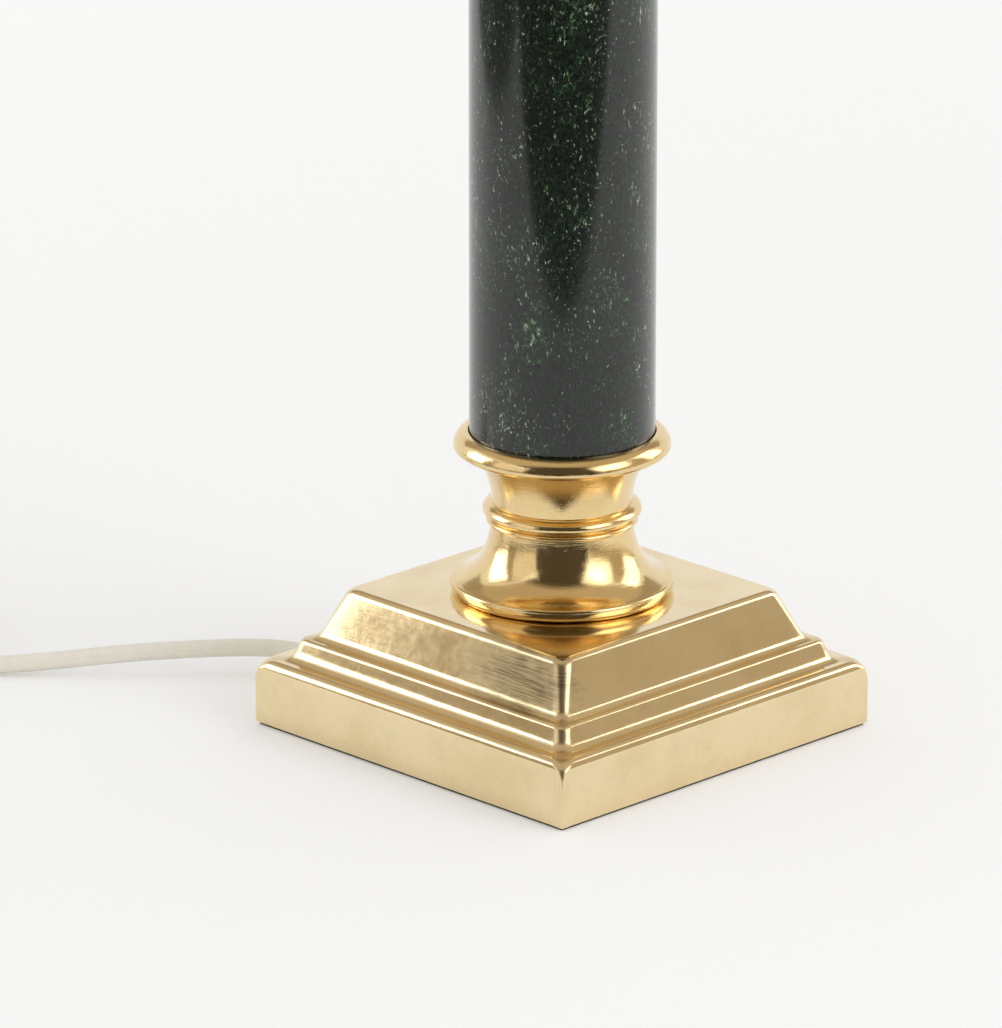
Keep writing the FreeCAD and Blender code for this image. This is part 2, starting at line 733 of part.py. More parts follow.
# Lampholder cap: a brass dome screwed on the rod, with a hole on each side for the switch bar
cap_out_share = 0.72
cap_rise_share = 0.36
cap_slope_wall = holder_wall * 0.7
cap_mid = holder_foot_radius + (holder_radius - holder_foot_radius) * cap_out_share
cap_mid_rise = holder_foot_high + (switch_bar_rise - switch_bar_diameter - holder_foot_high) * cap_rise_share
holder_cap = turned_part("holder_cap", [
    (rod_diameter / 2 + running, holder_bottom),
    (holder_foot_radius, holder_bottom),
    (holder_foot_radius, holder_bottom + holder_foot_high),
    Bend((cap_mid, holder_bottom + cap_mid_rise), (holder_radius, switch_level - switch_bar_diameter)),
    (holder_radius, holder_joint),
    (holder_radius - holder_wall, holder_joint),
    (holder_radius - holder_wall, switch_level - switch_bar_diameter),
    Bend((cap_mid - cap_slope_wall, holder_bottom + cap_mid_rise + cap_slope_wall),
         (holder_foot_radius, holder_bottom + holder_foot_high + holder_wall)),
    (rod_diameter / 2 + running, holder_bottom + holder_foot_high + holder_wall),
])
bar_hole = start_sketch(holder_cap, "bar_hole_section", "YZ_Plane", -(holder_radius * 2))
draw_circle(bar_hole, 0, switch_level, switch_bar_diameter / 2 + running)
cut_ahead(holder_cap, bar_hole, "bar_hole", holder_radius * 4)

# Switch: a bar that is pushed through the cap, in a moulded block under the insert
block_low = switch_level - switch_bar_diameter
block_box = box("switch_block_box", switch_block_long, switch_block_wide, holder_joint - block_low,
                -switch_block_long / 2, -switch_block_wide / 2, block_low)
block_bore = cylinder("switch_block_bore", switch_bar_diameter / 2 + running, switch_block_long * 2, 0, 0, 0)
lie_along_x(block_bore)
place(block_bore, -switch_block_long, 0, switch_level)
cut_part("switch_block", block_box, [block_bore])
switch_bar = make_body("switch_bar")
knob_radius = switch_knob_diameter / 2
bar_radius = switch_bar_diameter / 2
knob_right = holder_radius + seat_gap
knob_left = -(knob_right + switch_travel)
knob_end_radius = knob_radius * 0.7
knob_flank = switch_knob_long * 0.75
turn(switch_bar, "switch_bar_turned", [
    (knob_left - switch_knob_long, 0),
    (knob_left - switch_knob_long, knob_end_radius),
    (knob_left - knob_flank, knob_radius),
    (knob_left, knob_radius),
    (knob_left, bar_radius),
    (knob_right, bar_radius),
    (knob_right, knob_radius),
    (knob_right + knob_flank, knob_radius),
    (knob_right + switch_knob_long, knob_end_radius),
    (knob_right + switch_knob_long, 0),
], axis="H_Axis")
place(switch_bar, 0, 0, switch_level)

# Porcelain insert with its screw shell, centre contact and terminals
insert_radius = skirt_radius - holder_wall * 2
turned_part("holder_insert", [
    (contact_hole_radius / 4, holder_joint),
    (insert_radius, holder_joint),
    (insert_radius, holder_joint + insert_high),
    (contact_radius + loose / 2, holder_joint + insert_high),
    (contact_radius + loose / 2, insert_top_of_floor),
    (contact_hole_radius / 4, insert_top_of_floor),
])
turned_part("screw_contact", [
    (contact_hole_radius, insert_top_of_floor),
    (contact_radius, insert_top_of_floor),
    (contact_radius, insert_top_of_floor + contact_high),
    (contact_radius - contact_wall, insert_top_of_floor + contact_high),
    (contact_radius - contact_wall, insert_top_of_floor + contact_wall),
    (contact_hole_radius, insert_top_of_floor + contact_wall),
])
spring = make_body("centre_contact")
spring_sketch = start_sketch(spring, "spring_section", "XZ_Plane", -(spring_wide / 2))
spring_low = insert_top_of_floor
spring_end = spring_long / 2
draw_outline(spring_sketch, [
    (-spring_end, spring_low),
    (spring_end - spring_thick, spring_low),
    (spring_end, spring_low + spring_thick),
    (spring_end, spring_low + spring_rise / 2),
    (-spring_end + spring_thick, spring_low + spring_rise),
    (-spring_end + spring_thick, spring_low + spring_rise - spring_thick),
    (spring_end - spring_thick, spring_low + spring_rise / 2 - spring_thick),
    (spring_end - spring_thick, spring_low + spring_thick),
    (-spring_end, spring_low + spring_thick),
])
pad(spring, spring_sketch, "spring_strip", spring_wide)
terminals = []
for side in (-1, 1):
    terminals.append(cylinder("terminal_screw", terminal_diameter / 2, terminal_high,
                              0, terminal_offset * side, holder_joint - terminal_high))
group_part("terminal_screws", terminals)

# Outer shell with the fixed flange and the skirt that a shade's ring screws on
turned_part("holder_shell", [
    (insert_radius + running, holder_joint),
    (holder_radius, holder_joint),
    (holder_radius, flange_bottom),
    (flange_radius, flange_bottom),
    (flange_radius, flange_top),
    (skirt_radius, flange_top),
    (skirt_radius, skirt_top),
    (insert_radius + running, skirt_top),
])

# Shade ring: a moulded nut with a wide flange, resting just above the fixed flange
ring_low = flange_top + seat_gap
ring_inner = skirt_radius + running
turned_part("shade_ring", [
    (ring_inner, ring_low),
    (ring_flange_radius, ring_low),
    (ring_flange_radius, ring_low + ring_flange_thick),
    (ring_inner + ring_collar_wall, ring_low + ring_flange_thick),
    (ring_inner + ring_collar_wall, ring_low + ring_high),
    (ring_inner, ring_low + ring_high),
])

# Bulb: contact tip, glass button, screw cap, envelope, stem and filament
tip_flat_share = 0.6
turned_part("bulb_tip", [
    (0, bulb_bottom),
    (bulb_tip_radius * tip_flat_share, bulb_bottom),
    (bulb_tip_radius, bulb_bottom + bulb_tip_high / 2),
    (bulb_tip_radius, bulb_bottom + bulb_tip_high),
    (0, bulb_bottom + bulb_tip_high),
])
turned_part("bulb_button", [
    (0, bulb_bottom + bulb_tip_high),
    (bulb_button_radius, bulb_bottom + bulb_tip_high),
    (bulb_cap_radius - bulb_cap_wall * 2, bulb_cap_bottom),
    (0, bulb_cap_bottom),
])
turned_part("bulb_cap", [
    (bulb_cap_radius - bulb_cap_wall * 4, bulb_cap_bottom),
    (bulb_cap_radius - bulb_cap_wall, bulb_cap_bottom),
    (bulb_cap_radius, bulb_cap_bottom + bulb_cap_wall),
    (bulb_cap_radius, bulb_cap_top),
    (bulb_cap_radius - bulb_cap_wall, bulb_cap_top),
    (bulb_cap_radius - bulb_cap_wall, bulb_cap_bottom + bulb_cap_wall * 2),
    (bulb_cap_radius - bulb_cap_wall * 4, bulb_cap_bottom + bulb_cap_wall * 2),
])
bulb_centre = bulb_cap_top + bulb_centre_rise
neck_mid_radius = bulb_neck_radius + neck_swell
inside_radius = bulb_radius - glass_thick
shoulder_out = 0.8
shoulder_down = 0.6
neck_mid_share = 0.52
crown_out = math.sqrt(0.8)
crown_up = math.sqrt(0.2)
neck_mid_rise = (bulb_centre - bulb_radius * shoulder_down - bulb_cap_top) * neck_mid_share
turned_part("bulb_glass", [
    (bulb_neck_radius - glass_thick, bulb_cap_top),
    (bulb_neck_radius, bulb_cap_top),
    Bend((neck_mid_radius, bulb_cap_top + neck_mid_rise),
         (bulb_radius * shoulder_out, bulb_centre - bulb_radius * shoulder_down)),
    Bend((bulb_radius * crown_out, bulb_centre + bulb_radius * crown_up),
         (0, bulb_centre + bulb_radius)),
    (0, bulb_centre + inside_radius),
    Bend((inside_radius * crown_out, bulb_centre + inside_radius * crown_up),
         (inside_radius * shoulder_out, bulb_centre - inside_radius * shoulder_down)),
    Bend((neck_mid_radius - glass_thick, bulb_cap_top + neck_mid_rise + glass_thick / 2),
         (bulb_neck_radius - glass_thick, bulb_cap_top)),
])
stem_shoulder = bulb_cap_top + stem_high * 0.6
stem_tip_low = bulb_cap_top + stem_high * 0.7
turned_part("bulb_stem", [
    (0, bulb_cap_top - bulb_cap_high / 4),
    (bulb_cap_radius - bulb_cap_wall - running, bulb_cap_top - bulb_cap_high / 4),
    (bulb_cap_radius - bulb_cap_wall - running, bulb_cap_top - bulb_cap_high / 8),
    (stem_radius, bulb_cap_top),
    (stem_radius, stem_shoulder),
    (stem_radius / 3, stem_tip_low),
    (stem_radius / 3, bulb_cap_top + stem_high),
    (0, bulb_cap_top + stem_high),
])
filament = doc.addObject("Part::Cylinder", "filament_wire")
filament.setExpression("Radius", filament_radius.formula)
filament.setExpression("Height", (filament_half * 2).formula)
lie_along_x(filament)
place(filament, -filament_half, 0, bulb_cap_top + stem_high + filament_radius)
filament.Label = "bulb_filament"
nodes.append(filament)

# Cord bushing in the plinth's back wall: an inner flange, a neck and a long tapered nose
bushing = make_body("cord_bushing")
inner_wall = back_face - plinth_wall
bushing_sketch = start_sketch(bushing, "bushing_section", "XY_Plane")
bushing_bore = cord_radius + cord_bore_gap
draw_outline(bushing_sketch, [
    (bushing_bore, inner_wall - bushing_flange_thick),
    (bushing_flange_radius, inner_wall - bushing_flange_thick),
    (bushing_flange_radius, inner_wall),
    (bushing_neck_radius, inner_wall),
    (bushing_neck_radius, back_face),
    (bushing_flange_radius, back_face),
    (bushing_flange_radius, back_face + bushing_flange_thick),
    (bushing_neck_radius + (bushing_flange_radius - bushing_neck_radius) / 3,
     back_face + bushing_flange_thick),
    (bushing_tip_radius, back_face + bushing_long),
    (bushing_bore, back_face + bushing_long),
])
bushing_turn = bushing.newObject("PartDesign::Revolution", "bushing_turned")
bushing_turn.Profile = bushing_sketch
bushing_turn.ReferenceAxis = (bushing_sketch, ["V_Axis"])
bushing_turn.Angle = 360
place(bushing, cord_offset, 0, cord_height)
doc.recompute()

# Cord clamp behind the bushing, with its two screws
clamp_back = inner_wall - clamp_set_back
clamp_top = cord_height + cord_radius + clamp_top_wall
clamp_box = box("clamp_box", clamp_long, clamp_wide, clamp_top - plate_top,
                cord_offset - clamp_long / 2, clamp_back - clamp_wide, plate_top)
clamp_bore = cylinder("clamp_bore", cord_radius + cord_bore_gap, clamp_wide * 3, 0, 0, 0)
lie_along_y(clamp_bore)
place(clamp_bore, cord_offset, clamp_back - clamp_wide * 2, cord_height)
clamp_holes = []
clamp_screws = []
for side in (-1, 1):
    screw_x = cord_offset + clamp_screw_spacing / 2 * side
    screw_y = clamp_back - clamp_wide / 2
    clamp_holes.append(cylinder("clamp_screw_hole", screw_diameter / 2 + running, clamp_top,
                                screw_x, screw_y, plate_top))
    head = cylinder("clamp_screw_head", screw_head_diameter / 2, screw_head_high,
                    screw_x, screw_y, clamp_top)
    shank = cylinder("clamp_screw_shank", screw_diameter / 2, clamp_top - plate_top,
                     screw_x, screw_y, plate_top)
    screw = doc.addObject("Part::Fuse", "clamp_screw")
    screw.Base = head
    screw.Tool = shank
    clamp_screws.append(screw)
cut_part("cord_clamp", clamp_box, [clamp_bore] + clamp_holes)
group_part("clamp_screws", clamp_screws)

# The cord's inner end: through the bushing and the clamp, round a wide bend and up the rod
cord_x = cord_offset.number
cord_z = cord_height.number
cord_start_y = back_face.number + bushing_long.number / 2
lead_top = rod_top.number + 0.3
tube_part("inner_lead", [
    V(cord_x, cord_start_y, cord_z),
    V(cord_x, 51, cord_z),
    V(-25, 36, 12.2),
    V(-10.1, 14.5, 12.2),
    V(0, 0, 29.9),
    V(0, 0, lead_top),
], cord_radius.number)

# Two insulated cores from the lead's end to the terminals
cores = []
for side in (-1, 1):
    core = doc.addObject("Part::Feature", "core_wire")
    core.Shape = tube_along([
        V(0, side * 1.7, lead_top),
        V(0, side * 2.4, lead_top + 1.4),
        V(0, side * 8, lead_top + 2.8),
        V(0, side * terminal_offset.number, lead_top + 5.7),
        V(0, side * terminal_offset.number, holder_joint.number - terminal_high.number),
    ], core_diameter.number / 2)
    cores.append(core)
group_part("core_wires", cores)

# The cord outside: from inside the bushing, round to the left and down to the surface
tube_part("cord_run", [
    V(cord_x, cord_start_y, cord_z),
    V(cord_x, 98, cord_z),
    V(-35.4, 111.6, cord_z),
    V(-52.7, 127.9, 8.9),
    V(-73.6, 146.2, 7.6),
    V(-94.2, 165.3, 4.6),
    V(-115.4, 184.7, 3.4),
    V(-131, 200.2, 3.7),
    V(-143.8, 212.9, 4.4),
], cord_radius.number)

# The rest of the cord: one closed ring for the tied coil, and the end that climbs on it to the plug
coil_low = tie_thick
coil_top = coil_low + coil_high
coil = ring_part("cord_coil", coil_inner_radius, coil_outer_radius, coil_low, coil_top)
place(coil, coil_middle_x, coil_middle_y, 0)
plug_x = coil_middle_x + plug_axis_offset
plug_level = coil_top + plug_body_high / 2
tube_part("cord_tail", [
    V(-109.4, 201.5, coil_top.number - cord_radius.number),
    V(-122.6, 201.5, 24),
    V(-134.8, 206.55, 27),
    V(-144.15, 215.9, 31),
    V(plug_x.number, 228.1, plug_level.number),
    V(plug_x.number, 241.3, plug_level.number),
], cord_radius.number)

# Tie round the coil's section, on the side away from the plug
tie_inner_low = coil_inner_radius - tie_thick / 2
tie_deep = coil_outer_radius - tie_inner_low + loose
tie_outer = box("tie_outer", tie_wide, tie_deep + tie_thick * 2, coil_high + loose + tie_thick * 2,
                coil_middle_x - tie_wide / 2, coil_middle_y + tie_inner_low - tie_thick, 0)
tie_inner = box("tie_inner", tie_wide * 2, tie_deep, coil_high + loose,
                coil_middle_x - tie_wide, coil_middle_y + tie_inner_low, tie_thick)
cut_part("coil_tie", tie_outer, [tie_inner])

# Two-pin plug lying on the coil, its pins pointing along +Y
plug_neck_y = coil_middle_y + plug_neck_offset
plug_rear_y = plug_neck_y + plug_neck_long
plug_front_y = plug_rear_y + plug_body_long
plug_nose_end = plug_rear_y + plug_body_long * 0.2
plug_shoulder = plug_rear_y + plug_body_long * 0.55
plug = make_body("plug_body")
plug_sketch = start_sketch(plug, "plug_section", "XY_Plane", coil_top)
draw_outline(plug_sketch, [
    (plug_x - plug_nose_wide / 3, plug_rear_y),
    (plug_x + plug_nose_wide / 3, plug_rear_y),
    Bend((plug_x + plug_nose_wide / 2, plug_nose_end), (plug_x + plug_body_wide / 2, plug_shoulder)),
    (plug_x + plug_body_wide / 2, plug_front_y),
    (plug_x - plug_body_wide / 2, plug_front_y),
    (plug_x - plug_body_wide / 2, plug_shoulder),
    Bend((plug_x - plug_nose_wide / 2, plug_nose_end), (plug_x - plug_nose_wide / 3, plug_rear_y)),
])
pad(plug, plug_sketch, "plug_block", plug_body_high)
neck_sketch = start_sketch(plug, "neck_section", "XY_Plane", plug_level)
draw_outline(neck_sketch, [
    (plug_x, plug_rear_y + plug_neck_long / 3),
    (plug_x, plug_neck_y),
    (plug_x + cord_radius + turned_wall / 4, plug_neck_y),
    (plug_x + plug_neck_radius, plug_rear_y + plug_neck_long / 3),
])
neck = plug.newObject("PartDesign::Revolution", "plug_neck")
neck.Profile = neck_sketch
neck_axis = neck_sketch.addGeometry(Part.LineSegment(
    V(plug_x.number, plug_neck_y.number, 0), V(plug_x.number, plug_rear_y.number, 0)), True)
pin_point(neck_sketch, neck_axis, 1, (plug_x, plug_neck_y))
pin_point(neck_sketch, neck_axis, 2, (plug_x, plug_rear_y))
neck.ReferenceAxis = (neck_sketch, ["Axis0"])
neck.Angle = 360
doc.recompute()
pins = []
for side in (-1, 1):
    pin = doc.addObject("Part::Cylinder", "plug_pin")
    pin.setExpression("Radius", (pin_diameter / 2).formula)
    pin.setExpression("Height", pin_long.formula)
    lie_along_y(pin)
    place(pin, plug_x + pin_spacing / 2 * side, plug_front_y, plug_level)
    pins.append(pin)
group_part("plug_pins", pins)

doc.recompute()

# Check every object and every node before anything is written
for item in doc.Objects:
    if "Invalid" in item.State or "Error" in item.State:
        raise RuntimeError(f"{item.Name} ({item.Label}) failed: {item.State}")
for node in nodes:
    if node.Shape.isNull() or not node.Shape.isValid():
        raise RuntimeError(f"{node.Label} has no valid shape")

os.makedirs("parts", exist_ok=True)
for node in nodes:
    node.Shape.exportStep(f"parts/{node.Label}.step")
    box_size = node.Shape.BoundBox
    print(f"{node.Label}: {len(node.Shape.Solids)} solid(s), {node.Shape.Volume:.0f} mm3, "
          f"z {box_size.ZMin:.1f} to {box_size.ZMax:.1f}")
print(len(nodes), "nodes")
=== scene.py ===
import math

import bmesh
import bpy
from mathutils import Matrix, Vector


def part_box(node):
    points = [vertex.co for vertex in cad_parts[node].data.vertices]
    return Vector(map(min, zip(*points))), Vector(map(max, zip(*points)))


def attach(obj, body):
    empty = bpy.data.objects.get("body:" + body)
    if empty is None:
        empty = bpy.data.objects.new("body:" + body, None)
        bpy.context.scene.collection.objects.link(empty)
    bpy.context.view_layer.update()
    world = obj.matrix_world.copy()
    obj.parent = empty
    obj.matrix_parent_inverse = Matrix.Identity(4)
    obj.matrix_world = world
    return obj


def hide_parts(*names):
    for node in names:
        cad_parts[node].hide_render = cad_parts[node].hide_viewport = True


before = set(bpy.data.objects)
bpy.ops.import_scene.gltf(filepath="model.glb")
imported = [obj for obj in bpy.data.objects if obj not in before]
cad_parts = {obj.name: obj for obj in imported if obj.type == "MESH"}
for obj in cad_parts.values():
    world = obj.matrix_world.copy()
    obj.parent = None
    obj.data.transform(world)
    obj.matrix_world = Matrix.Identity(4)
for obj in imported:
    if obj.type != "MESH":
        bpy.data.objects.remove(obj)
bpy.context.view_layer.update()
scene = bpy.context.scene
scene.view_settings.view_transform = "Standard"
MM = 0.001

# Camera: a long lens in front of the left front corner, looking slightly down.
# The side and away directions are its own right and forward, level with the floor.
camera_data = bpy.data.cameras.new("camera")
camera_data.sensor_width = 36
camera_data.lens = 305.5
camera_data.clip_end = 50
camera = bpy.data.objects.new("camera", camera_data)
scene.collection.objects.link(camera)
camera_target = Vector((-0.01491, 0.01478, 0.07691))
camera.location = (-2.0164, -2.0051, 1.0330)
camera.rotation_euler = (camera_target - camera.location).to_track_quat("-Z", "Y").to_euler()
scene.camera = camera
side = Vector((0.7103, -0.7039, 0))
away = Vector((0.7039, 0.7103, 0))


# Mains cord: round two-core cord in a cream moulded sheath, straight out of the plinth's back.
# It runs round to the left and down to the surface, is wound into a tied coil out of view,
# and its end climbs on the coil into the plug.
def node(tree, kind, links=None, **settings):
    """A shader node with its sockets or settings filled in, and its inputs joined to outputs."""
    made = tree.nodes.new(kind)
    for name, value in settings.items():
        if name in made.inputs:
            made.inputs[name].default_value = value
        else:
            setattr(made, name, value)
    for socket, output in (links or {}).items():
        tree.links.new(output, made.inputs[socket])
    return made


def grey(value):
    """A grey of one value."""
    return (value, value, value, 1)


def ramp(tree, factor, stops):
    """Colours along a factor, each stop a position and a colour."""
    made = node(tree, "ShaderNodeValToRGB", {"Fac": factor})
    first, last = made.color_ramp.elements
    first.position, first.color = stops[0]
    last.position, last.color = stops[-1]
    for position, colour in stops[1:-1]:
        made.color_ramp.elements.new(position).color = colour
    return made.outputs["Color"]


def new_material(name):
    """A material with its node tree and its shader."""
    material = bpy.data.materials.new(name)
    material.use_nodes = True
    return material, material.node_tree, material.node_tree.nodes["Principled BSDF"]


def plain_material(name, colour, roughness, metallic=0.0, grain=0.08, scale=300.0):
    """A moulded, drawn or cast finish, a little uneven in its colour and in its shine."""
    material, tree, shader = new_material(name)
    shader.inputs["Metallic"].default_value = metallic
    place = node(tree, "ShaderNodeTexCoord").outputs["Object"]
    cloud = node(tree, "ShaderNodeTexNoise", {"Vector": place}, Scale=scale,
                 Detail=4.0).outputs["Fac"]
    darker = tuple(part * (1 - 2 * grain) for part in colour)
    tree.links.new(ramp(tree, cloud, [(0.35, (*darker, 1)), (0.65, (*colour, 1))]),
                   shader.inputs["Base Color"])
    tree.links.new(ramp(tree, cloud, [(0.3, grey(roughness * 0.85)), (0.7, grey(roughness))]),
                   shader.inputs["Roughness"])
    return material


CORD_THICK = 6.3 * MM
COIL_MIDDLE = Vector((-116, 241, 0)) * MM
COIL_RADII = (39.5 * MM, 33 * MM)
COIL_LOW = 4.4 * MM
POINTS_PER_TURN = 24
FULL_TURNS = 6
EXIT_ANGLE = 1.5 * math.pi
CHANGE_SHARE = 0.22
cord_route = [
    (-29.5, 83.5, 9.3),
    (-29.5, 98, 9.3),
    (-35.4, 111.6, 9.3),
    (-52.7, 127.9, 8.9),
    (-73.6, 146.2, 7.6),
    (-94.2, 165.3, 4.6),
    (-115.4, 184.7, 3.4),
    (-131, 200.2, 3.7),
    (-143.8, 212.9, 4.4),
]
cord_tail = [
    (-122.6, 201.5, 24),
    (-134.8, 206.55, 27),
    (-144.15, 215.9, 31),
    (-149.2, 228.1, 33.25),
    (-149.2, 241.3, 33.25),
]
coil_columns = [0, 1, 1, 0, 0, 1, 1, 0]
coil_layers = [0, 0, 1, 1, 2, 2, 3, 3]
slot_count = len(coil_columns)
entry = Vector(cord_route[-1]) * MM - COIL_MIDDLE
entry_angle = math.atan2(entry.y, entry.x) % math.tau
total_angle = FULL_TURNS * math.tau + (entry_angle - EXIT_ANGLE) % math.tau
coil_steps = round(total_angle / math.tau * POINTS_PER_TURN)
coil_points = []
for step in range(1, coil_steps + 1):
    share = step / coil_steps
    angle = entry_angle - share * total_angle
    slot = min(int(share * slot_count), slot_count - 1)
    into = (share * slot_count - slot - (1 - CHANGE_SHARE)) / CHANGE_SHARE
    into = max(0.0, min(1.0, into)) if slot + 1 < slot_count else 0.0
    into = into * into * (3 - 2 * into)
    after = min(slot + 1, slot_count - 1)
    column_slot = coil_columns[slot] + (coil_columns[after] - coil_columns[slot]) * into
    layer = coil_layers[slot] + (coil_layers[after] - coil_layers[slot]) * into
    radius = COIL_RADII[0] + (COIL_RADII[1] - COIL_RADII[0]) * column_slot
    height = COIL_LOW + layer * CORD_THICK
    on_coil = Vector((radius * math.cos(angle), radius * math.sin(angle), height))
    coil_points.append(COIL_MIDDLE + on_coil)
cord_points = [Vector(p) * MM for p in cord_route] + coil_points
cord_points += [Vector(p) * MM for p in cord_tail]
cord_curve = bpy.data.curves.new("mains_cord", "CURVE")
cord_curve.dimensions = "3D"
cord_curve.bevel_depth = 1
cord_curve.bevel_resolution = 6
cord_curve.resolution_u = 8
cord_curve.use_fill_caps = True
spline = cord_curve.splines.new("NURBS")
spline.points.add(len(cord_points) - 1)
for point, place in zip(spline.points, cord_points):
    point.co = (*place, 1)
    point.radius = CORD_THICK / 2
spline.order_u = 3
spline.use_endpoint_u = True
mains_cord = bpy.data.objects.new("mains_cord", cord_curve)
scene.collection.objects.link(mains_cord)
cream_sheath = plain_material("cream_sheath", (0.90, 0.86, 0.75), 0.45, grain=0.02)
cord_curve.materials.append(cream_sheath)
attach(mains_cord, "lamp")
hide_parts("cord_run", "cord_coil", "cord_tail")


# Studio floor and walls: white paper that runs out of sight on every side, and pale walls round it.
# Camera, glossy and glass rays see both a little lifted, so they stay white round the soft shadow.
def seen_or_mirrored(tree, plain, seen):
    """The first value for the light itself, the second where the camera, metal or glass looks."""
    ray = node(tree, "ShaderNodeLightPath").outputs
    either = node(tree, "ShaderNodeMath", {0: ray["Is Camera Ray"], 1: ray["Is Glossy Ray"]},
                  operation="MAXIMUM").outputs["Value"]
    looked_at = node(tree, "ShaderNodeMath", {0: either, 1: ray["Is Transmission Ray"]},
                     operation="MAXIMUM").outputs["Value"]
    chosen = {"To Min": plain, "To Max": seen}
    return node(tree, "ShaderNodeMapRange", {"Value": looked_at}, **chosen).outputs["Result"]


def smooth_rise(tree, value, start, end, low, high):
    """A value that goes smoothly from low to high between two others."""
    span = {"From Min": start, "From Max": end, "To Min": low, "To Max": high}
    return node(tree, "ShaderNodeMapRange", {"Value": value}, interpolation_type="SMOOTHSTEP",
                **span).outputs["Result"]


def make_object(work, name):
    """A finished bmesh as an object of the scene."""
    data = bpy.data.meshes.new(name)
    work.to_mesh(data)
    work.free()
    made = bpy.data.objects.new(name, data)
    scene.collection.objects.link(made)
    return made


PAPER_COLOUR = (0.86, 0.86, 0.859, 1)
PAPER_LIFT = (0.165, 0.255)
PAPER_LIFT_REACH = (0.1, 1.3)
work = bmesh.new()
bmesh.ops.create_grid(work, x_segments=1, y_segments=1, size=9)
paper_floor = make_object(work, "paper_floor")
paper, tree, shader = new_material("white_paper")
shader.inputs["Base Color"].default_value = PAPER_COLOUR
shader.inputs["Roughness"].default_value = 0.95
shader.inputs["Emission Color"].default_value = (1, 1, 1, 1)
place = node(tree, "ShaderNodeTexCoord").outputs["Object"]
from_lamp = node(tree, "ShaderNodeVectorMath", {0: place}, operation="LENGTH").outputs["Value"]
# The lift is painted light: weakest near the lamp and growing from 0.1 m out to 1.3 m, so the floor
# round the lamp stays darker.
lift = smooth_rise(tree, from_lamp, *PAPER_LIFT_REACH, *PAPER_LIFT)
shown = node(tree, "ShaderNodeMath", {0: lift, 1: seen_or_mirrored(tree, 0.0, 1.0)},
             operation="MULTIPLY")
tree.links.new(shown.outputs["Value"], shader.inputs["Emission Strength"])
paper_floor.data.materials.append(paper)
WALL_STRENGTHS = (0.78, 0.92)
world = bpy.data.worlds.new("studio_walls")
scene.world = world
world.use_nodes = True
tree = world.node_tree
walls = tree.nodes["Background"]
walls.inputs["Color"].default_value = (1, 1, 0.995, 1)
tree.links.new(seen_or_mirrored(tree, *WALL_STRENGTHS), walls.inputs["Strength"])


# Soft boxes: cloth-fronted lamps on stands out of the picture, which polished brass mirrors.
# The key box alone lights the paper; the strips and the panel are there for the metal.
lamp_foot = Vector((0, 0, 0.06))


def stand(turn, rise, far):
    """A place round the lamp, by its angle to the right of the camera and its angle of rise."""
    level = far * math.cos(math.radians(rise))
    sideways = side * math.sin(math.radians(turn)) - away * math.cos(math.radians(turn))
    return sideways * level + lamp_foot + Vector((0, 0, far * math.sin(math.radians(rise))))


def soft_box(name, place, wide, tall, radiance, half_spread=None, for_metal_only=False):
    """A soft box that faces the lamp; a grid narrows its light and softens its mirrored edge."""
    data = bpy.data.lights.new(name, "AREA")
    data.shape = "RECTANGLE"
    data.size = wide
    data.size_y = tall
    data.energy = math.pi * wide * tall * radiance
    if half_spread:
        angle = math.radians(half_spread)
        data.spread = 2 * angle
        data.energy *= (math.tan(angle) - angle) / math.tan(angle)
    light = bpy.data.objects.new(name, data)
    light.location = place
    light.rotation_euler = (lamp_foot - place).to_track_quat("-Z", "Y").to_euler()
    light.visible_camera = False
    light.visible_transmission = False
    light.visible_diffuse = not for_metal_only
    scene.collection.objects.link(light)


soft_box("left_strip", stand(-103.2, 18, 1.5), 0.70, 0.95, 3.2, for_metal_only=True)
soft_box("right_strip", stand(113.5, 22, 1.5), 0.62, 1.0, 2.3, for_metal_only=True)
soft_box("left_panel", stand(-58, 20, 1.6), 1.05, 1.05, 0.5, for_metal_only=True)
soft_box("key_box", stand(56, 29, 1.6), 1.15, 1.15, 3.2, half_spread=30)


# Cards: dark and tan glowing planes round the lamp, hidden from the camera, from diffuse light and
# from shadows.
# They paint reflections only, and give polished brass something to reflect besides white.
CARD_COLOUR = (1, 0.85, 0.64, 1)
UP = Vector((0, 0, 1))


def card(name, middle, along, along_half, across, across_half, shade, fade=None):
    """A flat card from its middle and half sides; fade is (direction, from, to, shade there)."""
    turned_to = Matrix((along, across, along.cross(across))).transposed().to_4x4()
    sized = Matrix.Diagonal((along_half, across_half, 1, 1))
    work = bmesh.new()
    bmesh.ops.create_grid(work, x_segments=1, y_segments=1, size=1,
                          matrix=Matrix.Translation(middle) @ turned_to @ sized)
    made = make_object(work, name)
    made.visible_camera = False
    made.visible_diffuse = False
    made.visible_shadow = False
    made.visible_transmission = False
    material, tree, shader = new_material(name)
    shader.inputs["Base Color"].default_value = grey(0)
    shader.inputs["Roughness"].default_value = 1
    shader.inputs["Specular IOR Level"].default_value = 0
    shader.inputs["Emission Color"].default_value = CARD_COLOUR
    shader.inputs["Emission Strength"].default_value = shade
    if fade:
        direction, start, end, far_shade = fade
        place = node(tree, "ShaderNodeTexCoord").outputs["Object"]
        distance = node(tree, "ShaderNodeVectorMath", {0: place}, operation="DOT_PRODUCT")
        distance.inputs[1].default_value = direction
        tree.links.new(smooth_rise(tree, distance.outputs["Value"], start, end, shade, far_shade),
                       shader.inputs["Emission Strength"])
    made.data.materials.append(material)


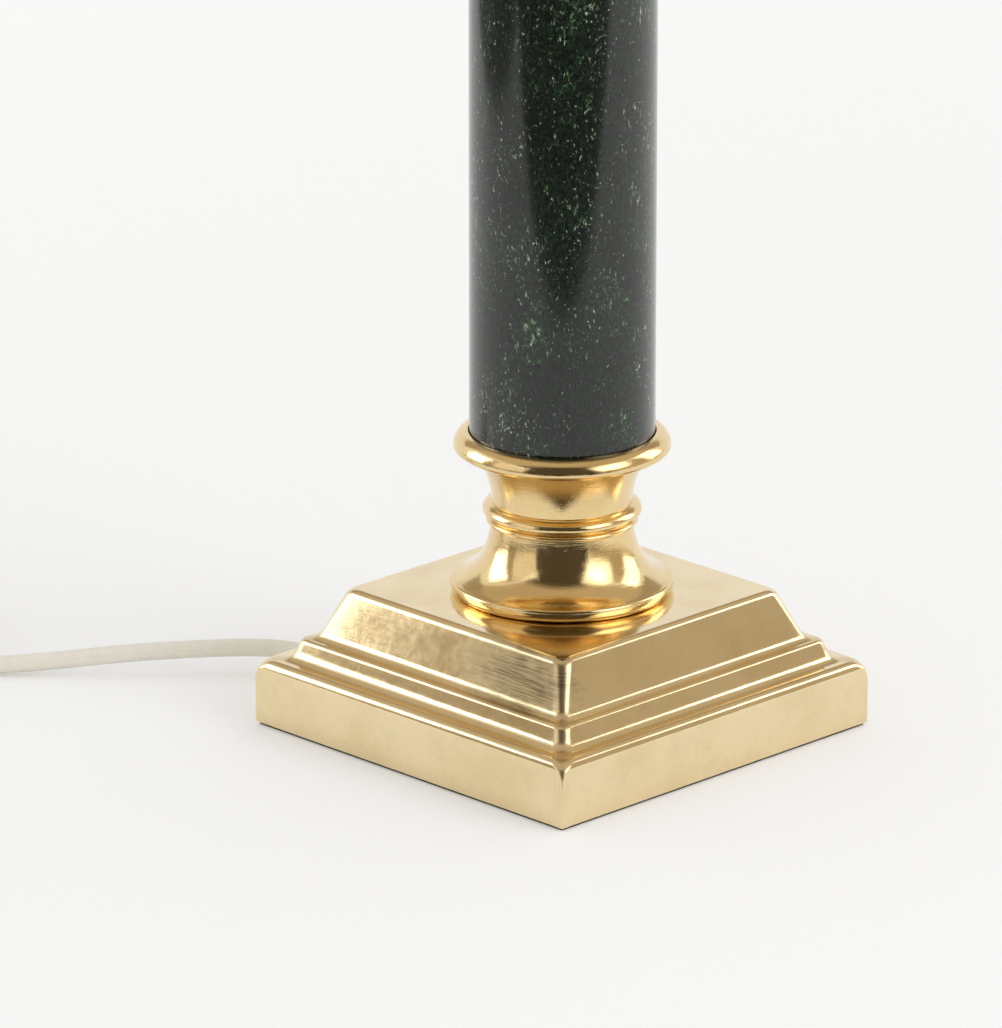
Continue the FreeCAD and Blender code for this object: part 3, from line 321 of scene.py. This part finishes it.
card("ceiling", away * -0.65 + UP * 2.3, side, 2.2, away, 2.75, 0.08, (away, -1.85, -0.9, 0.58))
card("front_cloth", away * -3.4 + UP * 1.2, side, 2.9, UP, 1.2, 0.085)
card("front_floor_cloth", away * -1.97 + UP * 0.001, side, 2.4, away, 1.43, 0.02)
card("left_floor_cloth", side * -1.61 + away * 0.085 + UP * 0.001, side, 0.79, away, 0.615, 0.02)
card("left_cloth", side * -1.85 + away * -0.6 + UP * 0.8, away, 1.6, UP, 0.8, 0.42)
card("right_card", side * 1.85 + away * -0.2 + UP * 0.8, away, 1.7, UP, 0.8, 0.52)
card("back_cloth", away * 2.6 + UP * 2.175, side, 2.6, UP, 0.725, 0.42)


# Felt pad: green felt glued under the plinth, so that the lamp doesn't scratch the table.
# It is cut a little inside the plinth's edge.
def dress(material, *names):
    """Give solids of the frame their material."""
    for name in names:
        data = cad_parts[name].data
        data.materials.clear()
        data.materials.append(material)


dress(plain_material("green_felt", (0.035, 0.06, 0.04), 0.95, grain=0.3, scale=900), "felt_pad")

# Plinth: cast brass in three steps, filed and polished, with one darker, rougher patch under thin
# lacquer.
# One moulded profile goes round a square, with a rounded shoulder over each face and a cove at
# each foot. Its plan corners are crisp on the lowest step and rounder above.
STEP_ONE = (75.0, 0.8, 24.1)
STEP_TWO = (67.1, 24.1, 31.7)
STEP_THREE = (60.4, 31.7, 50.0)
LEANS = (0.0, 17.0, 21.5)
SHOULDER_ROUNDS = (3.3, 1.8, 3.4)
COVES = (5.0, 4.25)
CORNER_CUTS = 8
FACE_CUTS = 11
PLINTH_BRASS = (0.87, 0.715, 0.44)
PLINTH_SHADE = (0.80, 0.64, 0.37)
PLINTH_DARK_PATCH = (0.15, 0.125, 0.065)
CLOUD_SCALE = 38
PIT_SCALE = 1300
LINE_SCALE = 2600
SHINE_SCALE = 260
WAVE_SCALE = 230
DARK_PATCH_SCALE = 130
PIT_DARKNESS = 0.45
DARK_PATCH_ROUGHER = 0.12


def oval(middle, across, up, first, last, steps=10):
    """Points on an oval arc, from one angle to the other in degrees."""
    angles = [math.radians(first + (last - first) * k / steps) for k in range(steps + 1)]
    return [(middle[0] + across * math.cos(angle), middle[1] + up * math.sin(angle))
            for angle in angles]


plinth_outline = [(STEP_ONE[0] - 0.5, STEP_ONE[1]), (STEP_ONE[0], STEP_ONE[1] + 0.5),
                  (STEP_ONE[0], 6), (STEP_ONE[0], 12), (STEP_ONE[0], 17.5)]
for step, (foot_half, low, high) in enumerate((STEP_ONE, STEP_TWO, STEP_THREE)):
    lean = math.radians(LEANS[step])
    set_back = math.tan((math.pi / 2 - lean) / 2)
    top_half = foot_half - (high - low) * math.tan(lean)
    rounding = SHOULDER_ROUNDS[step]
    shoulder_middle = (top_half - rounding * set_back, high - rounding)
    shoulder = oval(shoulder_middle, rounding, rounding, LEANS[step], 90, 8)
    if step > 0:
        cove = COVES[step - 1]
        cove_middle = (foot_half + cove * set_back, low + cove)
        plinth_outline += oval(cove_middle, cove, cove, 270, 180 + LEANS[step], 8)[1:]
        foot_end = Vector(plinth_outline[-1])
        plinth_outline += [tuple(foot_end.lerp(Vector(shoulder[0]), k / 4)) for k in (1, 2, 3)]
    plinth_outline += shoulder
plinth_outline += [(half, STEP_THREE[2]) for half in (46.0, 38.0, 30.0)]


def plan_radius(half, height):
    """The radius of the plinth's plan corners at one point of its profile."""
    if height < STEP_ONE[2] and half > STEP_TWO[0] + 4:
        rise = max(0.0, min(1.0, (height - 18.2) / (STEP_ONE[2] - 18.2)))
        return 0.35 + 5.3 * rise * rise * (3 - 2 * rise)
    if height < STEP_TWO[2] - 0.01:
        return 4.2 + 1.5 * max(0.0, min(1.0, (half - 66) / 5.7))
    if half > STEP_THREE[0] - 1:
        return 3.0 + 1.2 * max(0.0, min(1.0, (half - 60) / 4))
    return 3.0 + 2.0 * (height - STEP_THREE[1]) / (STEP_THREE[2] - STEP_THREE[1])


work = bmesh.new()
plinth_rows = []
for half, height in plinth_outline:
    earlier = set(work.edges)
    square = bmesh.ops.create_grid(work, x_segments=1, y_segments=1, size=half * MM,
                                   matrix=Matrix.Translation((0, 0, height * MM)))["verts"]
    bmesh.ops.bevel(work, geom=square, offset=plan_radius(half, height) * MM, offset_type="OFFSET",
                    affect="VERTICES", segments=CORNER_CUTS, profile=0.5, material=-1)
    filling = [face for face in work.faces if len(face.verts) == 4 * (CORNER_CUTS + 1)]
    bmesh.ops.delete(work, geom=filling, context="FACES_ONLY")
    long_edges = [edge for edge in work.edges
                  if edge not in earlier and edge.calc_length() > 20 * MM]
    bmesh.ops.subdivide_edges(work, edges=long_edges, cuts=FACE_CUTS)
    row = [edge for edge in work.edges if edge not in earlier]
    plinth_rows.append(row)
for low_row, high_row in zip(plinth_rows, plinth_rows[1:]):
    bmesh.ops.bridge_loops(work, edges=low_row + high_row)
bmesh.ops.edgeloop_fill(work, edges=plinth_rows[0])
bmesh.ops.edgeloop_fill(work, edges=plinth_rows[-1])
bmesh.ops.recalc_face_normals(work, faces=work.faces)
plinth = make_object(work, "plinth")
plinth.data.shade_smooth()
flat_faces = plinth.modifiers.new("flat_faces", "WEIGHTED_NORMAL")
flat_faces.weight = 80


def mixed(tree, factor, first, second):
    """Two colours mixed by a factor; each is a colour or another node's output."""
    made = node(tree, "ShaderNodeMix", data_type="RGBA")
    for socket, value in ((0, factor), (6, first), (7, second)):
        if isinstance(value, bpy.types.NodeSocket):
            tree.links.new(value, made.inputs[socket])
        else:
            made.inputs[socket].default_value = value
    return made.outputs[2]


def maths(tree, operation, first, second=0.0, clamp=False):
    """One sum on two values; each is a number or another node's output."""
    made = node(tree, "ShaderNodeMath", operation=operation, use_clamp=clamp)
    for socket, value in ((0, first), (1, second)):
        if isinstance(value, bpy.types.NodeSocket):
            tree.links.new(value, made.inputs[socket])
        else:
            made.inputs[socket].default_value = value
    return made.outputs["Value"]


def noise(tree, place, scale, detail=4.0, roughness=0.55, stretch=None):
    """A noise in the piece's own coordinates, drawn out where a scale per axis is given."""
    if stretch:
        place = node(tree, "ShaderNodeMapping", {"Vector": place}, Scale=stretch).outputs["Vector"]
    return node(tree, "ShaderNodeTexNoise", {"Vector": place}, Scale=scale, Detail=detail,
                Roughness=roughness).outputs["Fac"]


def brass_material(name, light, dark, rough_low, rough_high, line_depth, pit_depth, line_stretch,
                   dark_patch=None, corner_wear=None):
    """Polished brass under thin lacquer, with the lines and pits of its finishing.

    dark_patch is a darker, rougher patch's middle, reach and colour; corner_wear is the dulled
    corners' roughness, their reach from the corner and the height that they end at."""
    material, tree, shader = new_material(name)
    shader.inputs["Metallic"].default_value = 1
    shader.inputs["Coat Weight"].default_value = 0.3
    shader.inputs["Coat Roughness"].default_value = 0.12
    place = node(tree, "ShaderNodeTexCoord").outputs["Object"]
    cloud = noise(tree, place, CLOUD_SCALE, 8, 0.62)
    colour = ramp(tree, cloud, [(0.34, (*dark, 1)), (0.58, (*light, 1))])
    pits = ramp(tree, noise(tree, place, PIT_SCALE, 3), [(0.60, grey(0)), (0.70, grey(1))])
    in_pits = tuple(part * PIT_DARKNESS for part in dark)
    colour = mixed(tree, maths(tree, "MULTIPLY", pits, 0.2), colour, (*in_pits, 1))
    lines = noise(tree, place, LINE_SCALE, 3, 0.6, line_stretch)
    shine = noise(tree, place, SHINE_SCALE, 5, 0.6)
    rough = ramp(tree, shine, [(0.3, grey(rough_low)), (0.7, grey(rough_high))])
    if dark_patch:
        middle, reach, patch_colour = dark_patch
        moved = node(tree, "ShaderNodeMapping", {"Vector": place}, vector_type="TEXTURE",
                     Location=middle, Scale=reach).outputs["Vector"]
        far = node(tree, "ShaderNodeVectorMath", {0: moved}, operation="LENGTH").outputs["Value"]
        ragged = maths(tree, "MULTIPLY", noise(tree, place, DARK_PATCH_SCALE, 6, 0.65), 0.9)
        far = maths(tree, "ADD", far, ragged)
        outside = maths(tree, "MULTIPLY", maths(tree, "SUBTRACT", far, 0.85), 1.3, True)
        patch = maths(tree, "SUBTRACT", 1.0, outside, True)
        brushed = ramp(tree, lines, [(0.35, grey(0.3)), (0.6, grey(1))])
        patch = maths(tree, "MULTIPLY", patch, brushed)
        colour = mixed(tree, patch, colour, (*patch_colour, 1))
        rough = mixed(tree, patch, rough, grey(rough_high + DARK_PATCH_ROUGHER))
    if corner_wear:
        wear_roughness, wear_reach, wear_top = corner_wear
        parts = node(tree, "ShaderNodeSeparateXYZ", {"Vector": place}).outputs
        across, along = maths(tree, "ABSOLUTE", parts["X"]), maths(tree, "ABSOLUTE", parts["Y"])
        off_corner = maths(tree, "ABSOLUTE", maths(tree, "SUBTRACT", across, along))
        worn = smooth_rise(tree, off_corner, 0.4 * wear_reach, wear_reach, 1.0, 0.0)
        worn = maths(tree, "MULTIPLY", worn, maths(tree, "LESS_THAN", parts["Z"], wear_top))
        rough = mixed(tree, worn, rough, grey(wear_roughness))
    tree.links.new(colour, shader.inputs["Base Color"])
    tree.links.new(rough, shader.inputs["Roughness"])
    pitted = node(tree, "ShaderNodeBump", {"Height": pits}, Strength=pit_depth, Distance=0.04 * MM)
    lined = node(tree, "ShaderNodeBump", {"Height": lines, "Normal": pitted.outputs["Normal"]},
                 Strength=line_depth, Distance=0.08 * MM)
    waves = noise(tree, place, WAVE_SCALE)
    waved = node(tree, "ShaderNodeBump", {"Height": waves, "Normal": lined.outputs["Normal"]},
                 Strength=0.03, Distance=0.4 * MM)
    tree.links.new(waved.outputs["Normal"], shader.inputs["Normal"])
    return material


# A darker, greenish-brown, rougher patch with streaks, on the left face near the front corner.
left_face_dark_patch = ((-0.0575, -0.036, 0.041), (0.012, 0.028, 0.013), PLINTH_DARK_PATCH)
plinth_brass = brass_material("plinth_brass", PLINTH_BRASS, PLINTH_SHADE, 0.08, 0.14, 0.2, 0.07,
                              (0.03, 0.03, 1), left_face_dark_patch, (0.32, 5.5 * MM, 49 * MM))
plinth.data.materials.append(plinth_brass)
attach(plinth, "lamp")
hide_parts("base_shell")

# Bottom plate: plated sheet steel that closes the plinth from below.
# Four countersunk screws hold it to bosses in the plinth's corners.
plated_steel = plain_material("plated_steel", (0.55, 0.56, 0.57), 0.32, metallic=1.0)
dress(plated_steel, "bottom_plate", "plate_screws")

# Ballast disc: rough cast iron, left as it comes from the sand.
# It lies on the bottom plate inside the plinth, so that the lamp stands firm.
cast_iron = plain_material("cast_iron", (0.09, 0.09, 0.09), 0.6, metallic=1.0, grain=0.2)
dress(cast_iron, "ballast_disc")

# Threaded rod: a hollow steel rod that the cord goes up, with its washer and nut.
# The nut under the plinth's top clamps everything up to the lampholder together.
dress(plated_steel, "threaded_rod", "rod_washer", "rod_nut")


# Turned foot: brass turned on a lathe, and polished so that its fine lines still show.
# It has a rounded rim, a small step and a bell that sweeps up to a narrow neck.
def bezier(points, steps=14):
    """Points along a Bezier curve, its ends included."""
    found = []
    for k in range(steps + 1):
        level = [Vector(p) for p in points]
        while len(level) > 1:
            level = [a.lerp(b, k / steps) for a, b in zip(level, level[1:])]
        found.append(tuple(level[0]))
    return found


def turned(name, outline, turned_over_at=None):
    """An outline of radius and height in millimetres, closed and spun round the lamp's axis."""
    if turned_over_at is not None:
        outline = [(radius, 2 * turned_over_at - height) for radius, height in outline]
    work = bmesh.new()
    line = [work.verts.new((radius * MM, 0, height * MM)) for radius, height in outline]
    for a, b in zip(line, line[1:] + line[:1]):
        work.edges.new((a, b))
    bmesh.ops.spin(work, geom=work.verts[:] + work.edges[:], cent=(0, 0, 0), axis=(0, 0, 1),
                   dvec=(0, 0, 0), angle=math.tau, steps=192, use_merge=True)
    bmesh.ops.recalc_face_normals(work, faces=work.faces)
    piece = make_object(work, name)
    piece.data.shade_smooth()
    piece.data.set_sharp_from_angle(angle=math.radians(35))
    return piece


TURNED_BRASS = (0.85, 0.645, 0.325)
TURNED_SHADE = (0.78, 0.57, 0.265)
turned_brass = brass_material("turned_brass", TURNED_BRASS, TURNED_SHADE, 0.09, 0.16, 0.38, 0.3,
                              (0.04, 0.04, 1))
foot_outline = [(30, 50.0)] + oval((36.4, 53.3), 2.2, 3.25, -85, 0, 12)
foot_outline += oval((37.4, 53.7), 1.2, 1.25, 12, 82, 8)
foot_outline += bezier([(37.2, 54.98), (30.2, 57.3), (25.75, 63.3), (24.5, 74.75)], 28)
foot_outline += [(20, 74.75), (20, 60)]
foot = turned("turned_foot", foot_outline)
foot.data.materials.append(turned_brass)
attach(foot, "lamp")
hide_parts("foot_bell")

# Bead above the foot: turned brass, a thin ring under a large half-round one.
# It is clamped between the bell's neck and the cup by the rod that runs through all three.
bead_outline = [(12, 72.3), (23, 72.3), (23, 74.7), (24.5, 74.7)]
bead_outline += oval((24.3, 76.0), 2.0, 1.2, -80, 72)
bead_outline += oval((23.8, 79.65), 3.7, 2.75, -70, 78, 16) + [(24.15, 82.6), (12, 82.6)]
bead = turned("turned_bead", bead_outline)
bead.data.materials.append(turned_brass)
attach(bead, "lamp")
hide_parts("foot_bead")

# Cup under the column: turned brass, a stem that flares into a rolled lip.
# The lip's dished top edge takes the rubber seat and the foot of the column.
cup_outline = [(20, 82.5), (24.0, 82.5)]
cup_outline += bezier([(24.4, 82.95), (24.4, 87), (25.85, 92.5), (29.0, 98.5)], 18)
cup_outline += [(29.5, 99.7)] + oval((30.6, 102.55), 6.9, 2.75, -78, 0)[1:]
cup_outline += oval((32.4, 102.6), 5.1, 5.1, 0, 90)[1:] + [(32.2, 104), (26, 101.7), (20, 101.7)]
cup = turned("turned_cup", cup_outline)
cup.data.materials.append(turned_brass)
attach(cup, "lamp")
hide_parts("column_cup")

# Seats: thin black rubber rings under and over the column, stamped from sheet.
# They take up the clamping, so that the tube and its lacquer don't crack.
dress(plain_material("seat_rubber", (0.02, 0.02, 0.02), 0.7), "lower_seat", "upper_seat")

# Plugs: turned beech, pushed into both ends of the column.
# They keep the tube in the middle of the rod.
turned_wood = plain_material("turned_wood", (0.36, 0.22, 0.11), 0.5, grain=0.15)
dress(turned_wood, "lower_plug", "upper_plug")

# Column: a tube in black-green lacquer under a clear gloss.
# Green and pale flecks gather in clouds in it, drawn out a little along the column.
column_low, column_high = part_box("column_tube")
COLUMN_WALL = 2.0
column_radius = column_high.x / MM
column_bottom, column_top = column_low.z / MM, column_high.z / MM
column = turned("lacquered_column", [(column_radius, column_bottom), (column_radius, column_top),
                                     (column_radius - COLUMN_WALL, column_top),
                                     (column_radius - COLUMN_WALL, column_bottom)])
DEEP_BLACK = (0.002, 0.0025, 0.0022, 1)
GREEN_BLACK = (0.015, 0.026, 0.016, 1)
GREENS = ((0.012, 0.034, 0.012, 1), (0.034, 0.098, 0.034, 1), (0.17, 0.30, 0.11, 1))
PALES = ((0.035, 0.050, 0.038, 1), (0.13, 0.17, 0.12, 1), (0.50, 0.54, 0.40, 1))
THREAD_HALF = 0.008
lacquer, tree, shader = new_material("flecked_lacquer")
shader.inputs["Roughness"].default_value = 0.4
shader.inputs["Specular IOR Level"].default_value = 0.15
shader.inputs["Coat Weight"].default_value = 1
shader.inputs["Coat Roughness"].default_value = 0.1
place = node(tree, "ShaderNodeTexCoord").outputs["Object"]
drawn = (1, 1, 0.6)


def flecks(scale, level, cloud, gathering, stretch, detail):
    """A mask of flecks that are closer together where the cloud is thick."""
    field = noise(tree, place, scale, detail, 0.6, stretch)
    gathered = maths(tree, "ADD", field, maths(tree, "MULTIPLY", cloud, gathering))
    return maths(tree, "GREATER_THAN", gathered, level)


grit = noise(tree, place, 900, 4, 0.75, drawn)
tone = noise(tree, place, 520, 2)
first_cloud = ramp(tree, noise(tree, place, 62, 6, 0.6, drawn), [(0.42, grey(0)), (0.66, grey(1))])
second_cloud = ramp(tree, noise(tree, place, 44, 5, 0.6, (1, 1, 0.8)),
                    [(0.38, grey(0)), (0.66, grey(1))])
ground = ramp(tree, grit, [(0.40, DEEP_BLACK), (0.68, GREEN_BLACK)])
green = ramp(tree, tone, [(0.35, GREENS[0]), (0.58, GREENS[1]), (0.70, GREENS[2])])
pale = ramp(tree, tone, [(0.36, PALES[0]), (0.52, PALES[1]), (0.68, PALES[2])])
colour = mixed(tree, flecks(820, 0.715, first_cloud, 0.15, drawn, 4.0), ground, green)
colour = mixed(tree, flecks(1050, 0.715, second_cloud, 0.13, drawn, 3.5), colour, pale)
colour = mixed(tree, flecks(900, 0.73, first_cloud, 0.11, (1, 1, 0.28), 3.5), colour, pale)
web = maths(tree, "ABSOLUTE", maths(tree, "SUBTRACT", noise(tree, place, 330, 5, 0.7, drawn), 0.5))
threads = maths(tree, "MULTIPLY", maths(tree, "LESS_THAN", web, THREAD_HALF), first_cloud)
colour = mixed(tree, threads, colour, green)
tree.links.new(colour, shader.inputs["Base Color"])
column.data.materials.append(lacquer)
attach(column, "lamp")
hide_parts("column_tube")

# Capital over the column: turned brass, a cup and a bead like the lower ones, turned over.
# The rod clamps both down on the column's upper seat.
COLUMN_MIDDLE = 228.2
capital = turned("turned_capital", cup_outline, turned_over_at=COLUMN_MIDDLE)
capital.data.materials.append(turned_brass)
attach(capital, "lamp")
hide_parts("column_capital")
upper_bead = turned("upper_bead", bead_outline, turned_over_at=COLUMN_MIDDLE)
upper_bead.data.materials.append(turned_brass)
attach(upper_bead, "lamp")
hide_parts("capital_bead")

# Dome and spacer: the turned brass cap over the capital, and the short neck on it.
# They cover the rod's upper end and carry the lampholder.
dress(turned_brass, "dome_cap", "neck_spacer")

# Lampholder: drawn and turned brass, polished like the foot.
# Its cap screws on to the rod, and its outer shell screws into the cap.
dress(turned_brass, "holder_cap", "holder_shell")

# Switch: a moulded brown bakelite bar, pushed from side to side.
# It runs through a porcelain block that is held inside the cap.
bakelite = plain_material("bakelite", (0.035, 0.018, 0.01), 0.22)
porcelain = plain_material("porcelain", (0.80, 0.78, 0.73), 0.2)
dress(bakelite, "switch_bar")
dress(porcelain, "switch_block")

# Insert: glazed porcelain, held in the shell under its rim.
# It carries the pressed brass screw contact, the centre contact and the terminal screws.
contact_brass = plain_material("contact_brass", (0.78, 0.62, 0.34), 0.28, metallic=1.0)
dress(porcelain, "holder_insert")
dress(contact_brass, "screw_contact", "centre_contact", "terminal_screws")

# Shade ring: a moulded bakelite ring nut with a flange, which would hold a shade.
# It screws on to the shell's outer thread and comes off upwards.
dress(bakelite, "shade_ring")

# Bulb cap: rolled aluminium, cemented to the glass.
# At its foot are a button of black glass and the soldered tip that touches the centre contact.
solder = plain_material("solder", (0.5, 0.5, 0.51), 0.45, metallic=1.0)
dress(plain_material("rolled_aluminium", (0.82, 0.82, 0.83), 0.3, metallic=1.0), "bulb_cap")
dress(plain_material("black_glass", (0.01, 0.01, 0.01), 0.1), "bulb_button")
dress(solder, "bulb_tip")

# Bulb: blown clear glass, thin and barely tinted.
# It is fused at its neck to a pressed glass stem, which carries the filament.
clear_glass, tree, shader = new_material("clear_glass")
shader.inputs["Transmission Weight"].default_value = 1
shader.inputs["Roughness"].default_value = 0.02
shader.inputs["IOR"].default_value = 1.45
place = node(tree, "ShaderNodeTexCoord").outputs["Object"]
tint = ramp(tree, noise(tree, place, 60, 2),
            [(0.4, (0.95, 0.96, 0.96, 1)), (0.6, (0.98, 0.98, 0.98, 1))])
tree.links.new(tint, shader.inputs["Base Color"])
dress(clear_glass, "bulb_glass", "bulb_stem")

# Filament: tungsten wire wound into a fine coil, which rests on the top of the stem.
# Two stiffer wires, melted into the stem's shoulder, hold its ends.
FILAMENT_WIRE = 0.10 * MM
FILAMENT_COIL = 0.38 * MM
FILAMENT_TURNS = 24
STEPS_PER_TURN = 10
LEAD_WIRE = 0.17 * MM
LEAD_FOOT = 2.0 * MM
LEAD_FOOT_SHARE = 0.54
filament_low, filament_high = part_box("bulb_filament")
stem_low, stem_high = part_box("bulb_stem")
filament_half = (filament_high.x - filament_low.x) / 2 - FILAMENT_WIRE
filament_level = (filament_low.z + filament_high.z) / 2
work = bmesh.new()
wire_place = Matrix.Translation((-filament_half, 0, filament_level + FILAMENT_COIL))
wire_place = wire_place @ Matrix.Rotation(math.pi / 2, 4, "X")
wire_end = bmesh.ops.create_circle(work, segments=8, radius=FILAMENT_WIRE,
                                   matrix=wire_place)["verts"]
coil_steps = FILAMENT_TURNS * STEPS_PER_TURN
bmesh.ops.spin(work, geom=wire_end + work.edges[:], cent=(0, 0, filament_level), axis=(1, 0, 0),
               dvec=(2 * filament_half / coil_steps, 0, 0), angle=FILAMENT_TURNS * math.tau,
               steps=coil_steps)
bmesh.ops.holes_fill(work, edges=[edge for edge in work.edges if edge.is_boundary])
lead_foot_level = stem_low.z + LEAD_FOOT_SHARE * (stem_high.z - stem_low.z)
for end in (-1, 1):
    foot_point = Vector((end * LEAD_FOOT, 0, lead_foot_level))
    coil_point = Vector((end * filament_half, 0, filament_level + FILAMENT_COIL + LEAD_WIRE))
    lead = coil_point - foot_point
    lead_turn = lead.to_track_quat("Z", "Y").to_matrix().to_4x4()
    bmesh.ops.create_cone(work, cap_ends=True, segments=10, radius1=LEAD_WIRE, radius2=LEAD_WIRE,
                          depth=lead.length,
                          matrix=Matrix.Translation((foot_point + coil_point) / 2) @ lead_turn)
bmesh.ops.recalc_face_normals(work, faces=work.faces)
filament = make_object(work, "wound_filament")
filament.data.shade_smooth()
filament.data.set_sharp_from_angle(angle=math.radians(50))
tungsten_wire = plain_material("tungsten_wire", (0.24, 0.24, 0.25), 0.35, metallic=1.0)
filament.data.materials.append(tungsten_wire)
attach(filament, "bulb")
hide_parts("bulb_filament")

# Bushing and clamp: moulded in the cord's cream, in the plinth's back wall and behind it.
# Two plated screws close the clamp on the cord, so that a pull doesn't reach the terminals.
dress(cream_sheath, "cord_bushing", "cord_clamp")
dress(plated_steel, "clamp_screws")

# Inner lead: the cord's end, through the clamp, round a wide bend and up the hollow rod.
# Above the rod its two brown cores part, and go to the terminal screws.
dress(cream_sheath, "inner_lead")
dress(plain_material("brown_core", (0.13, 0.06, 0.03), 0.5), "core_wires")

# Plug and tie: a two-pin plug moulded on the cord's end, its pins of the contacts' brass.
# The tie is a strap round the coil's turns, in the same cream as the sheath.
dress(cream_sheath, "coil_tie", "plug_body")
dress(contact_brass, "plug_pins")
